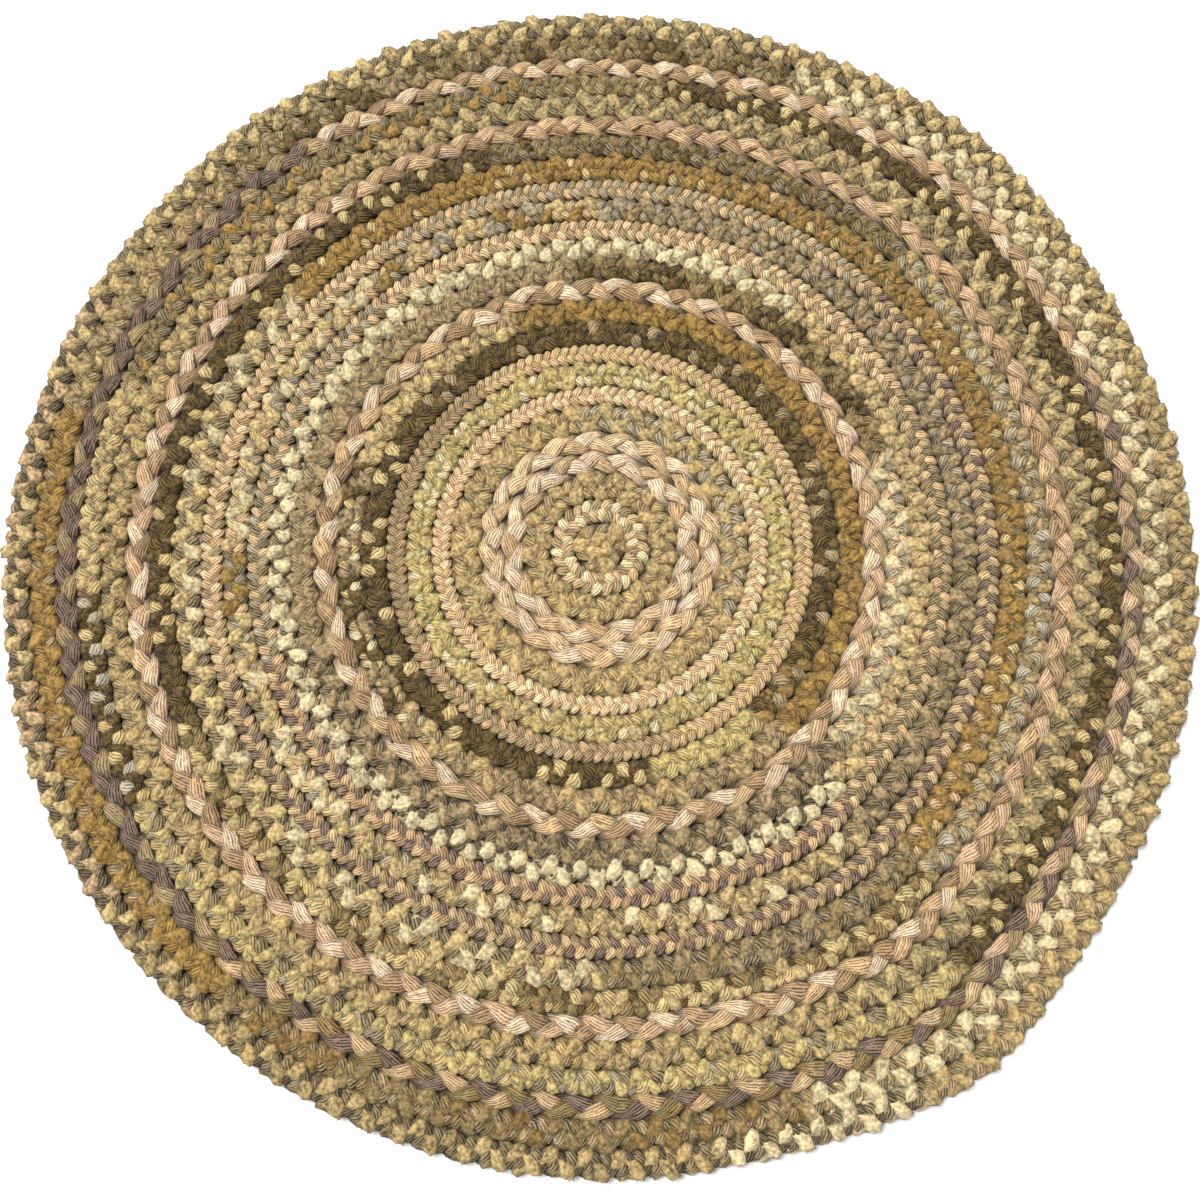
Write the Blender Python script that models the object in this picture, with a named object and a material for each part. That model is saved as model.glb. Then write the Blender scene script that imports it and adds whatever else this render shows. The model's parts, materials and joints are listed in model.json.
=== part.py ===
"""A round braided rug, lying flat: twenty-five braids, each closed into a ring and laced round the one before.

Lengths are in metres, +Z is up, and the origin is on the surface that the rug lies on, under the middle of its
outline. Each braid is one solid with a flat underside, slack sides and a rounded crest, so that the rows stand up
as ridges with a groove between them. The outermost braid has the scalloped edge that the loops of a braid make.
"""

import math
from collections import namedtuple

import bmesh
import bpy

MM = 0.001

# Driving sizes of the rug.
SEAM_GAP = 0.4 * MM  # between one braid and the next
SIDE_UP = 4.4 * MM  # height of a braid's widest place above the floor
SCALLOPS = 128  # loops round the rim
SCALLOP_DEPTH = 2.6 * MM  # from a loop's tip to the notch beside it
SCALLOP_STEPS = 3  # points to a loop: notch, shoulder, shoulder

# How each make of braid stands, as shares of half its width and of its height.
Make = namedtuple("Make", "high foot crest")
MAKES = {
    "chenille": Make(high=10.8 * MM, foot=0.58, crest=0.40),
    "plaited": Make(high=10.4 * MM, foot=0.62, crest=0.44),
    "fine": Make(high=9.6 * MM, foot=0.60, crest=0.46),
}

# Yarn shades, as red, green and blue from 0 to 255 on a display.
SHADES = {
    "cream": (222, 206, 160),
    "straw": (190, 172, 120),
    "lime": (186, 178, 108),
    "olive": (150, 138, 88),
    "green": (172, 162, 112),
    "bark": (84, 70, 44),
    "gold": (165, 132, 66),
    "taupe": (140, 125, 95),
    "tan": (196, 160, 112),
    "peach": (210, 172, 130),
    "pink": (216, 184, 152),
    "brown": (128, 100, 70),
}

# The rows from the middle out: make of braid, radius of its outer edge, and main shade of its yarn.
Row = namedtuple("Row", "make outer shade")
ROWS = (
    Row("chenille", 20.0 * MM, "olive"),
    Row("fine", 39.0 * MM, "tan"),
    Row("chenille", 60.0 * MM, "olive"),
    Row("plaited", 76.0 * MM, "pink"),
    Row("plaited", 92.5 * MM, "tan"),
    Row("chenille", 115.0 * MM, "olive"),
    Row("fine", 130.0 * MM, "peach"),
    Row("chenille", 149.5 * MM, "lime"),
    Row("fine", 165.0 * MM, "tan"),
    Row("chenille", 184.0 * MM, "bark"),
    Row("chenille", 203.0 * MM, "gold"),
    Row("plaited", 220.0 * MM, "pink"),
    Row("chenille", 240.0 * MM, "brown"),
    Row("chenille", 254.0 * MM, "straw"),
    Row("fine", 272.0 * MM, "peach"),
    Row("chenille", 290.5 * MM, "cream"),
    Row("fine", 307.5 * MM, "tan"),
    Row("chenille", 329.0 * MM, "gold"),
    Row("chenille", 347.0 * MM, "taupe"),
    Row("plaited", 364.0 * MM, "peach"),
    Row("chenille", 384.0 * MM, "green"),
    Row("chenille", 401.5 * MM, "bark"),
    Row("plaited", 417.0 * MM, "pink"),
    Row("chenille", 438.0 * MM, "cream"),
    Row("chenille", 457.0 * MM, "straw"),
)
RUG_RADIUS = ROWS[-1].outer

# Where the outline leaves a true circle: direction from +X, how far round it spreads, how far out it goes at the
# rim, and the share of the rug's radius from which it grows. A hand-laced rug bulges where braids are butted.
Bulge = namedtuple("Bulge", "at spread out begins")
BULGES = (
    Bulge(at=306.0, spread=11.0, out=17.0 * MM, begins=0.33),
    Bulge(at=48.0, spread=10.0, out=7.0 * MM, begins=0.50),
    Bulge(at=86.0, spread=16.0, out=-3.5 * MM, begins=0.50),
    Bulge(at=245.0, spread=28.0, out=-4.0 * MM, begins=0.40),
    Bulge(at=130.0, spread=6.0, out=3.0 * MM, begins=0.60),
)

# Points round a row: a row takes the count of the first line whose reach covers it. Each count divides the next,
# so that a row's corners fall on its neighbour's.
Round = namedtuple("Round", "reach points")
ROUNDS = (
    Round(reach=80.0 * MM, points=16),
    Round(reach=245.0 * MM, points=32),
    Round(reach=RUG_RADIUS, points=64),
)
RIM_POINTS = SCALLOPS * SCALLOP_STEPS
MOST_FOOT_POINTS = 32  # the foot hardly shows, so a wide row's has fewer corners


def display_colour(shade):
    """The linear colour that shows as this shade on a display."""
    return tuple((value / 255) ** 2.2 for value in SHADES[shade]) + (1.0,)


def points_round(row):
    """How many points a row has round it."""
    return next(step.points for step in ROUNDS if ROWS[row].outer <= step.reach)


def bulged(radius, angle):
    """The distance from the middle of a circle's point at this angle, once the rug's bulges have moved it."""
    moved = radius
    share = radius / RUG_RADIUS
    for bulge in BULGES:
        turn = (angle - math.radians(bulge.at) + math.pi) % math.tau - math.pi
        growth = max(0.0, share - bulge.begins) / (1.0 - bulge.begins)
        moved += bulge.out * growth * math.exp(-((turn / math.radians(bulge.spread)) ** 2))
    return moved


def seam_point(radius, angle, corners):
    """The point of a seam at this angle. A seam is straight between its corners, so that both rows fit it."""
    step = math.tau / corners
    first = math.floor(angle / step + 1e-6)
    along = angle / step - first
    ends = []
    for corner in (first, first + 1):
        reach = bulged(radius, corner * step)
        ends.append((reach * math.cos(corner * step), reach * math.sin(corner * step)))
    return [a + (b - a) * along for a, b in zip(*ends)]


def scalloped(point, place):
    """A point of the rim, drawn in if it lies in the notch between two loops."""
    if place % SCALLOP_STEPS:
        return point
    reach = math.hypot(*point)
    return [value * (reach - SCALLOP_DEPTH) / reach for value in point]


def edges_at(row, angle):
    """The inner and the outer edge of a row at this angle, each half a gap inside its seam."""
    own = points_round(row)
    seams = []
    if row:
        inner_corners = min(own, points_round(row - 1))
        seams.append(seam_point(ROWS[row - 1].outer + SEAM_GAP / 2, angle, inner_corners))
    else:
        seams.append([0.0, 0.0])
    last = row == len(ROWS) - 1
    outer = ROWS[row].outer if last else ROWS[row].outer - SEAM_GAP / 2
    seams.append(seam_point(outer, angle, RIM_POINTS if last else own))
    return seams


def across(edges, share):
    """The point at this share of the half width from the middle of a row, from -1 inside to 1 outside."""
    inner, outer = edges
    return [a + (b - a) * (1.0 + share) / 2.0 for a, b in zip(inner, outer)]


def loop_round(mesh, row, share, up, count):
    """A ring of points round a row, at one share of its width and one height."""
    loop = []
    for place in range(count):
        point = across(edges_at(row, place * math.tau / count), share)
        if count == RIM_POINTS:
            point = scalloped(point, place)
        loop.append(mesh.verts.new((*point, up)))
    return loop


def stitch(mesh, first, second):
    """Closes the band between two loops with triangles. One loop has as many points as the other or a multiple."""
    swapped = len(first) > len(second)
    coarse, fine = (second, first) if swapped else (first, second)
    ratio = len(fine) // len(coarse)
    middle = ratio // 2
    faces = []
    for place, corner in enumerate(coarse):
        following = coarse[(place + 1) % len(coarse)]
        span = [fine[(place * ratio + step) % len(fine)] for step in range(ratio + 1)]
        for step in range(middle):
            faces.append((corner, span[step], span[step + 1]))
        faces.append((corner, span[middle], following))
        for step in range(middle, ratio):
            faces.append((following, span[step], span[step + 1]))
    for face in faces:
        mesh.faces.new(face)


def cap(mesh, loop, up):
    """Closes a loop with a fan round a point over the rug's middle."""
    hub = mesh.verts.new((0.0, 0.0, up))
    for place, corner in enumerate(loop):
        mesh.faces.new((hub, corner, loop[(place + 1) % len(loop)]))


def braid_mesh(row):
    """The solid of one row: foot, sides and crest, as loops joined by bands."""
    make = MAKES[ROWS[row].make]
    count = points_round(row)
    foot_count = min(count, MOST_FOOT_POINTS)
    is_rim = row == len(ROWS) - 1
    mesh = bmesh.new()
    outer_foot = loop_round(mesh, row, make.foot, 0.0, foot_count)
    outer_side = loop_round(mesh, row, 1.0, SIDE_UP, RIM_POINTS if is_rim else count)
    outer_crest = loop_round(mesh, row, make.crest, make.high, count)
    stitch(mesh, outer_foot, outer_side)
    stitch(mesh, outer_side, outer_crest)
    if row:
        inner_crest = loop_round(mesh, row, -make.crest, make.high, count)
        inner_side = loop_round(mesh, row, -1.0, SIDE_UP, count)
        inner_foot = loop_round(mesh, row, -make.foot, 0.0, foot_count)
        stitch(mesh, outer_crest, inner_crest)
        stitch(mesh, inner_crest, inner_side)
        stitch(mesh, inner_side, inner_foot)
        stitch(mesh, inner_foot, outer_foot)
    else:
        cap(mesh, outer_foot, 0.0)
        cap(mesh, outer_crest, make.high)
    bmesh.ops.recalc_face_normals(mesh, faces=mesh.faces)
    return mesh


def braid_material(name, shade):
    material = bpy.data.materials.new(name)
    material.use_nodes = True
    surface = material.node_tree.nodes["Principled BSDF"]
    surface.inputs["Base Color"].default_value = display_colour(shade)
    surface.inputs["Roughness"].default_value = 0.95
    surface.inputs["Metallic"].default_value = 0.0
    return material


def node_name(row):
    endings = {0: "_centre", len(ROWS) - 1: "_rim"}
    return f"braid_{row + 1:02d}{endings.get(row, '')}"


def middle_of(mesh):
    """The middle of a mesh's box, across and along."""
    return [
        (min(v.co[axis] for v in mesh.verts) + max(v.co[axis] for v in mesh.verts)) / 2 for axis in (0, 1)
    ]


def make_rug():
    for old in list(bpy.data.objects):
        bpy.data.objects.remove(old)
    meshes = [braid_mesh(row) for row in range(len(ROWS))]
    # The outline is not quite round, so the rows' common centre lies a little off the middle of the rug.
    x, y = middle_of(meshes[-1])
    for row, mesh in enumerate(meshes):
        bmesh.ops.translate(mesh, verts=mesh.verts, vec=(-x, -y, 0.0))
        name = node_name(row)
        data = bpy.data.meshes.new(name)
        mesh.to_mesh(data)
        mesh.free()
        data.materials.append(braid_material(name, ROWS[row].shade))
        data.shade_smooth()
        bpy.context.scene.collection.objects.link(bpy.data.objects.new(name, data))


make_rug()
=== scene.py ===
# %% [markdown]
# # A round braided rug
#
# The rug is made of long braids. Each braid is closed into a ring and laced round the ring inside it. Some
# braids are plaited from thick bundles of wool, some from thin tight wool, and most have one strand of
# fluffy chenille between two of wool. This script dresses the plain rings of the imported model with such
# strands.
#
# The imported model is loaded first, because every strand takes its place from it. Blender's own startup
# objects are removed before that, so that they don't count as pieces.

import json
import math
from collections import namedtuple

import bmesh
import bpy
import numpy as np
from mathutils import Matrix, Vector

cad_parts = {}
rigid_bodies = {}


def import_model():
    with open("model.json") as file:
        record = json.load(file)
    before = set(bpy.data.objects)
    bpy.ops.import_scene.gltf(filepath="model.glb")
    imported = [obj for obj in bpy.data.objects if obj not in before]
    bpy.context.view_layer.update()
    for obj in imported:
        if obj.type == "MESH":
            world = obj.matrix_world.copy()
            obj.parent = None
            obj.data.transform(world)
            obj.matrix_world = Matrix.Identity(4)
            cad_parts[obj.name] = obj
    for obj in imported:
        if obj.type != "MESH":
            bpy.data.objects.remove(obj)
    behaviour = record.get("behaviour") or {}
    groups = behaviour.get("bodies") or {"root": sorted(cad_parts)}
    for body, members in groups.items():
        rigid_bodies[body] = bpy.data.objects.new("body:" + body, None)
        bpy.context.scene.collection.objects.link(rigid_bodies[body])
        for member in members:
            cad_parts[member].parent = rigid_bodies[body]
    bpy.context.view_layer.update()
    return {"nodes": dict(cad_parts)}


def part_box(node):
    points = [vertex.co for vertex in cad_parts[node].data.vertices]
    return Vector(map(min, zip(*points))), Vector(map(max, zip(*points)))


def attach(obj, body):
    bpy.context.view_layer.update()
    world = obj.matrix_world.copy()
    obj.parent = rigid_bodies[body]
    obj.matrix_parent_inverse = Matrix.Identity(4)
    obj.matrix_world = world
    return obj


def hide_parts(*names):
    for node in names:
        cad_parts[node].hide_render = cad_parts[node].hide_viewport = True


for startup_object in list(bpy.data.objects):
    bpy.data.objects.remove(startup_object)

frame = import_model()
RING_NODES = sorted(frame["nodes"])
MM = 0.001

# %% [markdown]
# ## Where each row runs
#
# A row's braid follows a line midway between the seams on its two sides. The seams could be typed in again,
# but then they could differ from the model. So each one is read from the ring that ends there: the corners
# furthest out give the seam's distance from the middle in a few directions, and a cubic curve through them
# gives it in between.

# %% Seams read from the rings
RUG_MIDDLE = sum(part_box(RING_NODES[0]), Vector((0.0, 0.0, 0.0))) / 2
NOTCH = 0.3 * MM  # a corner this far inside its neighbours is in a notch between two loops of the rim
ALL_ROUND = np.linspace(0, math.tau, 720, endpoint=False)


def seam(node):
    """A function that gives the distance of a ring's outer edge from the rug's middle in any direction."""
    corners = np.array([v.co for v in frame["nodes"][node].data.vertices]) - np.array(RUG_MIDDLE)
    furthest = {}
    for x, y, _ in corners:
        direction = round(math.atan2(y, x) % math.tau, 3) % round(math.tau, 3)
        furthest[direction] = max(furthest.get(direction, 0.0), math.hypot(x, y))
    angles = np.array(sorted(furthest))
    distances = np.array([furthest[angle] for angle in angles])
    nearby = np.convolve(np.r_[distances[-1], distances, distances[0]], [1 / 3] * 3, "valid")
    kept = distances > nearby - NOTCH
    angles, distances = angles[kept], distances[kept]
    # Two corners are repeated past each end, so that the curve closes.
    angles = np.r_[angles[-2:] - math.tau, angles, angles[:2] + math.tau]
    distances = np.r_[distances[-2:], distances, distances[:2]]

    def distance_at(angle):
        angle = np.asarray(angle) % math.tau
        after = np.clip(np.searchsorted(angles, angle), 2, len(angles) - 2)
        a, b, c, d = (distances[after + step] for step in (-2, -1, 0, 1))
        t = (angle - angles[after - 1]) / (angles[after] - angles[after - 1])
        return b + 0.5 * t * (c - a + t * (2 * a - 5 * b + 4 * c - d + t * (3 * (b - c) + d - a)))

    return distance_at


SEAMS = [lambda angle: 0.0 * angle] + [seam(node) for node in RING_NODES]
SEAM_MEANS = [float(np.mean(edge(ALL_ROUND))) for edge in SEAMS]
print("seams, in mm:", [round(1000 * mean, 1) for mean in SEAM_MEANS])

# %% [markdown]
# ## Node trees written as sums
#
# A node tree is easier to read as an expression than as a list of links. A `Wire` wraps the output of a
# node, and adding or multiplying wires adds the Math nodes. Any other node comes from `Wires.node`, which
# takes the node's type, its settings and the values or wires of its sockets. It serves for materials and
# for Geometry Nodes alike.

# %% Wires between nodes
class Wire:
    """The output of a node, with the arithmetic of plain numbers."""

    def __init__(self, wires, end):
        self.wires = wires
        self.end = end

    def out(self, name):
        """Another output of the same node."""
        return Wire(self.wires, self.end.node.outputs[name])

    def math(self, operation, *others):
        return self.wires.node("ShaderNodeMath", {"operation": operation}, dict(enumerate((self, *others))))

    def within_one(self):
        """The same number, kept from 0 to 1."""
        return self.math("MAXIMUM", 0.0).math("MINIMUM", 1.0)

    def after(self, operation, first):
        """The operation with this number as its second."""
        return self.wires.node("ShaderNodeMath", {"operation": operation}, {0: first, 1: self})

    def __add__(self, other):
        return self.math("ADD", other)

    def __sub__(self, other):
        return self.math("SUBTRACT", other)

    def __rsub__(self, other):
        return self.after("SUBTRACT", other)

    def __mul__(self, other):
        return self.math("MULTIPLY", other)

    def __truediv__(self, other):
        return self.math("DIVIDE", other)

    def __rtruediv__(self, other):
        return self.after("DIVIDE", other)

    def __pow__(self, other):
        return self.math("POWER", other)

    def __rpow__(self, other):
        return self.after("POWER", other)

    __radd__ = __add__
    __rmul__ = __mul__


class Wires:
    """A node tree that nodes are added to."""

    def __init__(self, tree):
        self.tree = tree

    def node(self, kind, settings=None, sockets=None):
        """Adds a node, and gives back a wire from its first output in use."""
        made = self.tree.nodes.new(kind)
        for name, value in (settings or {}).items():
            setattr(made, name, value)
        for name, value in (sockets or {}).items():
            if isinstance(value, Wire):
                self.tree.links.new(value.end, made.inputs[name])
            else:
                made.inputs[name].default_value = value
        return Wire(self, next((end for end in made.outputs if end.enabled), None))

    def vector(self, operation, first, second=None, scale=None):
        sockets = {0: first}
        if second is not None:
            sockets[1] = second
        if scale is not None:
            sockets["Scale"] = scale
        return self.node("ShaderNodeVectorMath", {"operation": operation}, sockets)

    def together(self, x=0.0, y=0.0, z=0.0):
        """A vector made of three numbers."""
        return self.node("ShaderNodeCombineXYZ", {}, {0: x, 1: y, 2: z})

    def split(self, vector):
        """A vector whose outputs X, Y and Z are numbers."""
        return self.node("ShaderNodeSeparateXYZ", {}, {0: vector})

    def mix(self, factor, first, second):
        """A colour between two others."""
        settings = {"data_type": "RGBA", "clamp_result": False}
        return self.node("ShaderNodeMix", settings, {0: factor, 6: first, 7: second}).out(2)


print("made the classes", Wire.__name__, "and", Wires.__name__)

# %% [markdown]
# ## One tree for every strand
#
# In a plait of three, every strand does the same thing a third of a repeat after the one before. So one
# tree can lay every strand of the rug. Thousands of lobes would take weeks to model by hand, but Geometry
# Nodes need only the strand's sizes, which are the tree's inputs. The tree counts the turns of the plait
# along a guide curve. Slow noise stretches them a little, so that no two lobes are the same length, and
# every lobe gets random numbers.

# %% The tree's inputs and turns
STRAND_INPUTS = (
    ("Repeats", "NodeSocketInt", 10),
    ("Steps", "NodeSocketInt", 12),
    ("Start", "NodeSocketFloat", 0.0),
    ("Row", "NodeSocketFloat", 0.0),
    ("Swing", "NodeSocketFloat", 5 * MM),
    ("Corner", "NodeSocketFloat", 0.0),
    ("Lift", "NodeSocketFloat", 2 * MM),
    ("Middle", "NodeSocketFloat", 5 * MM),
    ("Half width", "NodeSocketFloat", 3 * MM),
    ("Half thickness", "NodeSocketFloat", 2 * MM),
    ("Facets", "NodeSocketInt", 10),
    ("Yarns", "NodeSocketFloat", 3.0),
    ("Groove", "NodeSocketFloat", 0.2),
    ("Pinch", "NodeSocketFloat", 0.0),
    ("Edge pinch", "NodeSocketFloat", 0.0),
    ("Bank", "NodeSocketFloat", 0.0),
    ("Lumps", "NodeSocketFloat", 0.0),
    ("Lump size", "NodeSocketFloat", 4 * MM),
    ("Unevenness", "NodeSocketFloat", 0.05),
    ("Variety", "NodeSocketFloat", 0.1),
    ("Tufts", "NodeSocketFloat", 0.0),
    ("Seed", "NodeSocketFloat", 0.0),
    ("Yarn", "NodeSocketMaterial", None),
)
SECOND, THIRD = 1000.0, 2000.0  # added to a lobe's number, for its second and third random numbers


class StrandTree(Wires):
    """The tree of a plaited strand, with its inputs and the turns of the plait."""

    def __init__(self):
        super().__init__(bpy.data.node_groups.new("Plaited strand", "GeometryNodeTree"))
        self.tree.interface.new_socket("Guide", in_out="INPUT", socket_type="NodeSocketGeometry")
        for name, kind, value in STRAND_INPUTS:
            made = self.tree.interface.new_socket(name, in_out="INPUT", socket_type=kind)
            if value is not None:
                made.default_value = value
        self.tree.interface.new_socket("Strand", in_out="OUTPUT", socket_type="NodeSocketGeometry")
        self.get = get = self.node("NodeGroupInput").out
        self.place = self.node("GeometryNodeInputPosition")
        self.normal = self.node("GeometryNodeInputNormal")
        turns = self.node("GeometryNodeInputIndex") / get("Steps") + get("Start")
        turns = turns + self.noise(60 * MM, get("Row")) * get("Unevenness")
        turns = turns + self.noise(25 * MM, get("Seed")) * get("Unevenness") * 0.4
        self.angle = turns * math.tau
        self.sine = self.angle.math("SINE")
        self.lobe = (turns * 2.0 - 0.25).math("FLOOR")

    def noise(self, size, seed):
        """Smooth noise from -1 to 1, with features of this size."""
        sockets = {"Vector": self.place, "W": seed, "Scale": 1.0 / size, "Detail": 1.0}
        return (self.node("ShaderNodeTexNoise", {"noise_dimensions": "4D"}, sockets) - 0.5) * 2.5

    def random_of(self, whole_number, spread=1.0):
        """A random number for each whole number, from minus to plus half the spread."""
        sockets = {"ID": whole_number, "Seed": self.get("Seed")}
        return (self.node("FunctionNodeRandomValue", {"data_type": "FLOAT"}, sockets).out(1) - 0.5) * spread

    def keep(self, geometry, name, value):
        """The geometry with a vector stored on its points, which the materials read too."""
        settings = {"data_type": "FLOAT_VECTOR", "domain": "POINT"}
        sockets = {"Geometry": geometry, "Name": name, "Value": value}
        return self.node("GeometryNodeStoreNamedAttribute", settings, sockets)

    def kept(self, name):
        return self.node("GeometryNodeInputNamedAttribute", {"data_type": "FLOAT_VECTOR"}, {"Name": name})


STRAND = StrandTree()
ITEMS = STRAND.tree.interface.items_tree
SOCKET_OF = {item.name: item.identifier for item in ITEMS if item.in_out == "INPUT"}
print("the strand's tree has these inputs:", ", ".join(SOCKET_OF))

# %% [markdown]
# ## The path of a strand
#
# A strand swings from side to side, and it rises and dips twice as often, so that it lies on top from each
# edge to the middle and dives from the middle to the other edge. That is a sine across and a sine of twice
# the angle upwards. A little of a third sine sharpens its turns at the edges. The guide is cut into equal
# steps, each step is moved by these sines, and the path is banked where it turns.

# %% The path
def plaited_path(t):
    get = t.get
    count = get("Repeats") * get("Steps")
    path = t.node("GeometryNodeResampleCurve", {}, {"Curve": get("Guide"), "Count": count})
    turn = t.together(t.angle.math("COSINE"), t.sine, t.random_of(t.lobe) + 0.5)
    path = t.keep(path, "turn", turn)
    along = t.node("GeometryNodeInputTangent")
    across = t.vector("NORMALIZE", t.vector("CROSS_PRODUCT", along, (0.0, 0.0, 1.0)))
    zigzag = t.sine - (t.angle * 3.0).math("SINE") * get("Corner")
    sideways = get("Swing") * (zigzag + t.random_of(t.lobe + SECOND, 0.8) * get("Variety"))
    sideways = sideways * (1.0 + t.noise(19 * MM, get("Seed") + 3.0) * get("Unevenness") * 1.5)
    upwards = get("Middle") - (t.angle * 2.0).math("SINE") * get("Lift")
    shift = t.vector("ADD", t.vector("SCALE", across, scale=sideways), t.together(z=upwards))
    path = t.node("GeometryNodeSetPosition", {}, {"Geometry": path, "Offset": shift})
    path = t.node("GeometryNodeSetCurveNormal", {"mode": "Z_UP"}, {"Curve": path})
    return t.node("GeometryNodeSetCurveTilt", {}, {"Curve": path, "Tilt": t.sine * get("Bank")})


path = plaited_path(STRAND)
print("with its path the tree has", len(STRAND.tree.nodes), "nodes")

# %% [markdown]
# ## The body of a strand
#
# A strand's outline is an oval, with grooves between the yarns that lie side by side. It is swept along the
# path. A real strand swells where it lies free on the face or the back of the plait and is pinched where
# the others cross it, and so the sweep's scale follows the plait's turns. Some lobes are fuller than
# others, and small lumps keep the surface from being smooth.

# %% The outline and the sweep
def strand_outline(t):
    get = t.get
    oval = t.node("GeometryNodeCurvePrimitiveCircle", {}, {"Resolution": get("Facets"), "Radius": 1.0})
    oval = t.keep(oval, "round", t.place)
    parts = t.split(t.place)
    groove = ((parts.out("X") + 1.0) * get("Yarns") * (math.pi / 2)).math("COSINE").math("ABSOLUTE")
    depth = get("Half thickness") * (1.0 - groove * get("Groove"))
    outline = t.together(parts.out("X") * get("Half width"), parts.out("Y") * depth)
    return t.node("GeometryNodeSetPosition", {}, {"Geometry": oval, "Position": outline})


def swept(t, path, outline):
    get = t.get
    free = (t.angle * 2.0).math("SINE").math("ABSOLUTE")
    swell = 1.0 - get("Pinch") * (1.0 - free)
    swell = swell * (1.0 + t.noise(14 * MM, get("Seed") + 5.0) * get("Unevenness") * 1.6)
    swell = swell * (1.0 + t.random_of(t.lobe + THIRD, 2.0) * get("Variety") * free)
    swell = swell * (1.0 - t.sine ** 4.0 * get("Edge pinch"))
    sockets = {"Curve": path, "Profile Curve": outline, "Scale": swell}
    body = t.node("GeometryNodeCurveToMesh", {}, sockets)
    lumps = t.noise(get("Lump size"), get("Seed") + 7.0) * get("Lumps")
    outwards = t.vector("SCALE", t.normal, scale=lumps)
    return t.node("GeometryNodeSetPosition", {}, {"Geometry": body, "Offset": outwards})


body = swept(STRAND, path, strand_outline(STRAND))
print("with its body the tree has", len(STRAND.tree.nodes), "nodes")

# %% [markdown]
# ## The tufts of chenille
#
# Chenille's cut pile stands out in small tufts, which break up the outline of a lobe. A hair system would
# need millions of hairs. Here a tuft is one small spike with three sides, sunk into the strand. Spikes are
# scattered thickly on the lobes of the face and thinly on those of the back, with none where the strands
# cross. Each gets its own size and lean. They are made real at the end, because the export would drop
# instances.

# %% Tufts, and the end of the tree
TUFT_RADIUS = 0.80 * MM
TUFT_HEIGHT = 2.6 * MM
TUFT_SUNK = 0.9 * MM
LEAN = (0.6, 0.6, 3.1)  # the most that a tuft leans, and turns about itself, in radians
SMALLEST, LARGEST = 0.65, 1.35  # a tuft's size, beside the usual
DOWNWARDS = -0.35  # where a surface's normal rises less than this, it faces the floor
BACK_SHARE = 0.25  # how thickly tufts stand on the back, beside the face


def tufted(t, body):
    facing = t.split(t.normal).out("Z")
    turned = t.split(t.kept("turn"))
    lying = turned.out("X") * turned.out("Y")  # below 0 on the face, and above 0 on the back
    on_face = (lying * -1.0).math("GREATER_THAN", 0.05) * facing.math("GREATER_THAN", DOWNWARDS)
    on_back = lying.math("GREATER_THAN", 0.15) * facing.math("LESS_THAN", DOWNWARDS)
    density = (on_face + on_back * BACK_SHARE) * t.get("Tufts")
    sockets = {"Mesh": body, "Density": density, "Seed": t.get("Seed").math("FLOOR")}
    scattered = t.node("GeometryNodeDistributePointsOnFaces", {}, sockets)
    sockets = {"Vertices": 3, "Radius Bottom": TUFT_RADIUS, "Depth": TUFT_HEIGHT}
    spike = t.node("GeometryNodeMeshCone", {"fill_type": "NGON"}, sockets)
    sockets = {"Geometry": spike, "Translation": (0.0, 0.0, -TUFT_SUNK)}
    spike = t.node("GeometryNodeTransform", {}, sockets)
    # The height up each spike is kept, for the painted highlight on a tuft's tip.
    height_up = t.split(t.place).out("Z") / TUFT_HEIGHT
    spike = t.keep(spike, "tip", t.together(height_up, height_up, height_up))
    sockets = {2: SMALLEST, 3: LARGEST, "Seed": 3}
    size = t.node("FunctionNodeRandomValue", {"data_type": "FLOAT"}, sockets).out(1)
    sockets = {0: tuple(-most for most in LEAN), 1: LEAN, "Seed": 5}
    lean = t.node("FunctionNodeRandomValue", {"data_type": "FLOAT_VECTOR"}, sockets)
    sockets = {"Points": scattered, "Instance": spike, "Rotation": scattered.out("Rotation"), "Scale": size}
    tufts = t.node("GeometryNodeInstanceOnPoints", {}, sockets)
    tufts = t.node("GeometryNodeRotateInstances", {}, {"Instances": tufts, "Rotation": lean})
    tufts = t.node("GeometryNodeRealizeInstances", {}, {"Geometry": tufts})
    strand = t.node("GeometryNodeJoinGeometry", {}, {0: body})
    t.tree.links.new(tufts.end, strand.end.node.inputs[0])
    return strand


strand = tufted(STRAND, body)
strand = STRAND.node("GeometryNodeSetShadeSmooth", {}, {"Geometry": strand})
strand = STRAND.node("GeometryNodeRealizeInstances", {}, {"Geometry": strand})
strand = STRAND.node("GeometryNodeSetMaterial", {}, {"Geometry": strand, "Material": STRAND.get("Yarn")})
STRAND.node("NodeGroupOutput", {}, {"Strand": strand})
print("the whole tree has", len(STRAND.tree.nodes), "nodes")

# %% [markdown]
# ## The yarns
#
# Five kinds of strand lie in this rug. A thick bundle of wool yarns makes the wide plaits, and a tight
# strand of wool makes the smooth narrow braids. Chenille is a fat soft strand whose cut pile stands out all
# round. It never lies alone: one strand of it is plaited with two of thin wool. In the dark rows a fuller
# strand of wool shows as pale flecks between smaller nuggets of chenille, and one pale row has a chenille
# that is less pinched, like a rope. The sizes below are for a row of the usual width, and are scaled to
# each row.

# %% Sizes of the strands
USUAL_HALF_WIDTH = 9.1 * MM
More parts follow.
